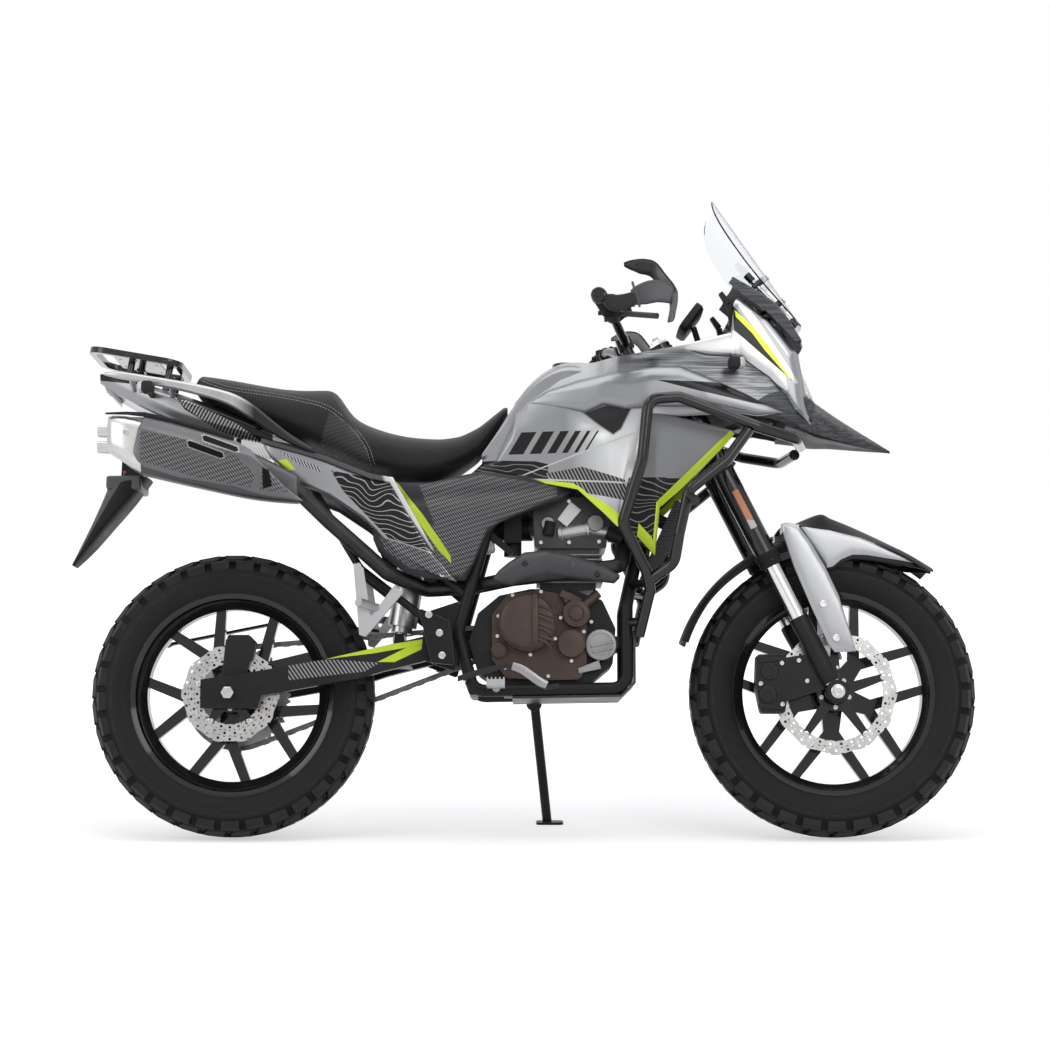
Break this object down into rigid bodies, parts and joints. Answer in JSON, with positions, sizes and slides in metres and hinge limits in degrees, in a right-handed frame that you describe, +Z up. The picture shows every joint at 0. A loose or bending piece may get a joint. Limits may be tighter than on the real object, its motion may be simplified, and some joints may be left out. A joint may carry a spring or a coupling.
{
  "type": "dual sport motorcycle",
  "caption": "Adventure motorcycle with block-tread tyres, screen, crash bars and rack, leaning on its side stand.",
  "frame": {"origin": "floor point under the middle of the parked motorcycle's overall box", "axes": "+X forward, +Y to the rider's left, +Z up; the motorcycle leans 7.5 degrees to +Y"},
  "size_m": [2.0582, 0.8845, 1.4579],
  "materials": {
    "black_frame": "satin",
    "black_plastic": "fine grain",
    "silver_paint": "metallic",
    "grey_plastic": "woven look",
    "bronze_case": "satin",
    "cast_alloy": "as cast",
    "steel": "ground",
    "chrome": "polished",
    "tyre_rubber": "matt",
    "seat_cover": "vinyl",
    "clear_screen": "clear",
    "lamp_lens": "clear",
    "red_lens": "clear red",
    "black_paint": "gloss"
  },
  "bodies": {
    "root": {"frame": "black_frame", "swingarm": "black_frame", "rear_shock": "steel", "rear_caliper": "cast_alloy", "chain": "steel", "engine_case": "black_frame", "clutch_cover": "bronze_case", "cylinder_head": "cast_alloy", "carburettor": "black_plastic", "radiator": "black_frame", "exhaust_pipe": "black_frame", "heat_shield": "grey_plastic", "muffler": "black_frame", "muffler_shield": "grey_plastic", "skid_plate": "cast_alloy", "crash_bars": "black_paint", "fuel_tank": "silver_paint", "tank_shrouds": "silver_paint", "front_fairing": "silver_paint", "headlamp": "lamp_lens", "windscreen": "clear_screen", "instrument": "black_plastic", "side_covers": "grey_plastic", "rear_panels": "silver_paint", "seat": "seat_cover", "tail_unit": "grey_plastic", "tail_lamp": "red_lens", "grab_rails": "cast_alloy", "rear_rack": "black_paint", "rear_mudguard": "black_plastic", "footpegs": "black_frame", "foot_controls": "black_frame"},
    "steering": {"fork_yokes": "black_paint", "fork_legs": "chrome", "handlebar": "black_paint", "front_fender": "black_plastic", "front_caliper": "cast_alloy"},
    "front_wheel": {"front_rim": "black_paint", "front_tyre": "tyre_rubber", "front_disc": "steel"},
    "rear_wheel": {"rear_rim": "black_paint", "rear_tyre": "tyre_rubber", "rear_disc": "steel", "rear_sprocket": "steel"},
    "side_stand": {"side_stand": "black_frame"}
  },
  "joints": [
    {"name": "steering", "type": "hinge", "parent": "root", "child": "steering", "pos_m": [0.33843, -0.02014, 0.96666], "axis": [-0.4462, 0.1168, 0.8873], "range_deg": [-33, 33]},
    {"name": "front_wheel_spin", "type": "hinge", "parent": "steering", "child": "front_wheel", "pos_m": [0.706, -0.10466, 0.32462], "axis": [0, 0.9914, -0.1305], "continuous": true},
    {"name": "rear_wheel_spin", "type": "hinge", "parent": "root", "child": "rear_wheel", "pos_m": [-0.654, -0.10512, 0.32118], "axis": [0, 0.9914, -0.1305], "continuous": true},
    {"name": "side_stand_fold", "type": "hinge", "parent": "root", "child": "side_stand", "pos_m": [0.03, 0.03687, 0.29648], "axis": [0.0873, 0.9473, 0.3082], "range_deg": [0, 90.2]}
  ]
}
